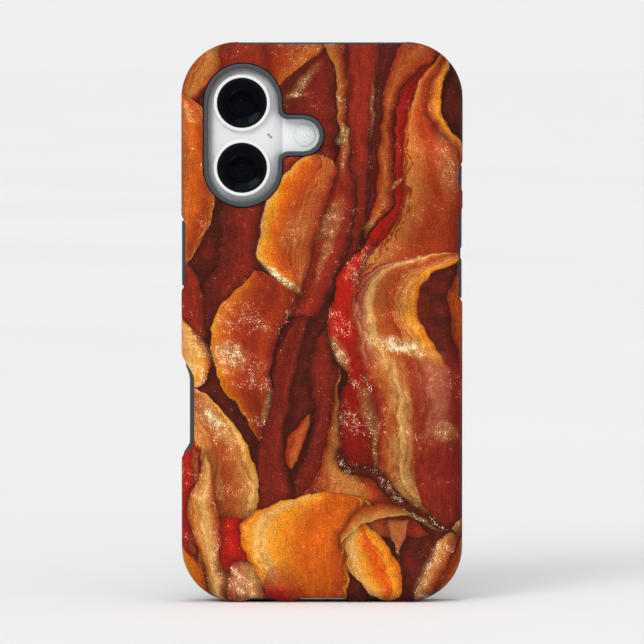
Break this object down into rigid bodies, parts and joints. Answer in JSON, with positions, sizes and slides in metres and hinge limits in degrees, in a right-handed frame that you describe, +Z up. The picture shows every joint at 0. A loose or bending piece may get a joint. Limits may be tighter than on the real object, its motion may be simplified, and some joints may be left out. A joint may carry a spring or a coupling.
{
  "type": "smartphone in a printed two-layer case",
  "caption": "Smartphone standing upright in a hard printed case over a soft dark liner, with a raised camera rim, button covers, and cut-outs for the charging port and side controls.",
  "frame": {"origin": "under the middle of the bottom edge, on the surface that the phone stands on", "axes": "+Z up along the phone's height, +Y out of the display, +X to the right when seen from the back"},
  "size_m": [0.0764, 0.0122, 0.1524],
  "materials": {
    "printed_shell": "satin print of bacon rashers in dark red, tan and orange",
    "dark_rubber": "matt",
    "white_metal": "satin",
    "white_glass": "gloss, colour-infused",
    "black_glass": "gloss",
    "flash_diffuser": "gloss",
    "button_glass": "gloss",
    "black_plastic": "matt",
    "screw_steel": "brushed"
  },
  "bodies": {
    "root": {"case_shell": "printed_shell", "case_liner": "dark_rubber", "phone_frame": "white_metal", "back_glass": "white_glass", "lens_ring_upper": "white_metal", "lens_ring_lower": "white_metal", "lens_cover_upper": "black_glass", "lens_cover_lower": "black_glass", "flash_window": "flash_diffuser", "camera_button": "button_glass", "display_glass": "black_glass", "front_camera": "black_glass", "port_tongue": "black_plastic", "bottom_screw_left": "screw_steel", "bottom_screw_right": "screw_steel"}
  },
  "joints": []
}
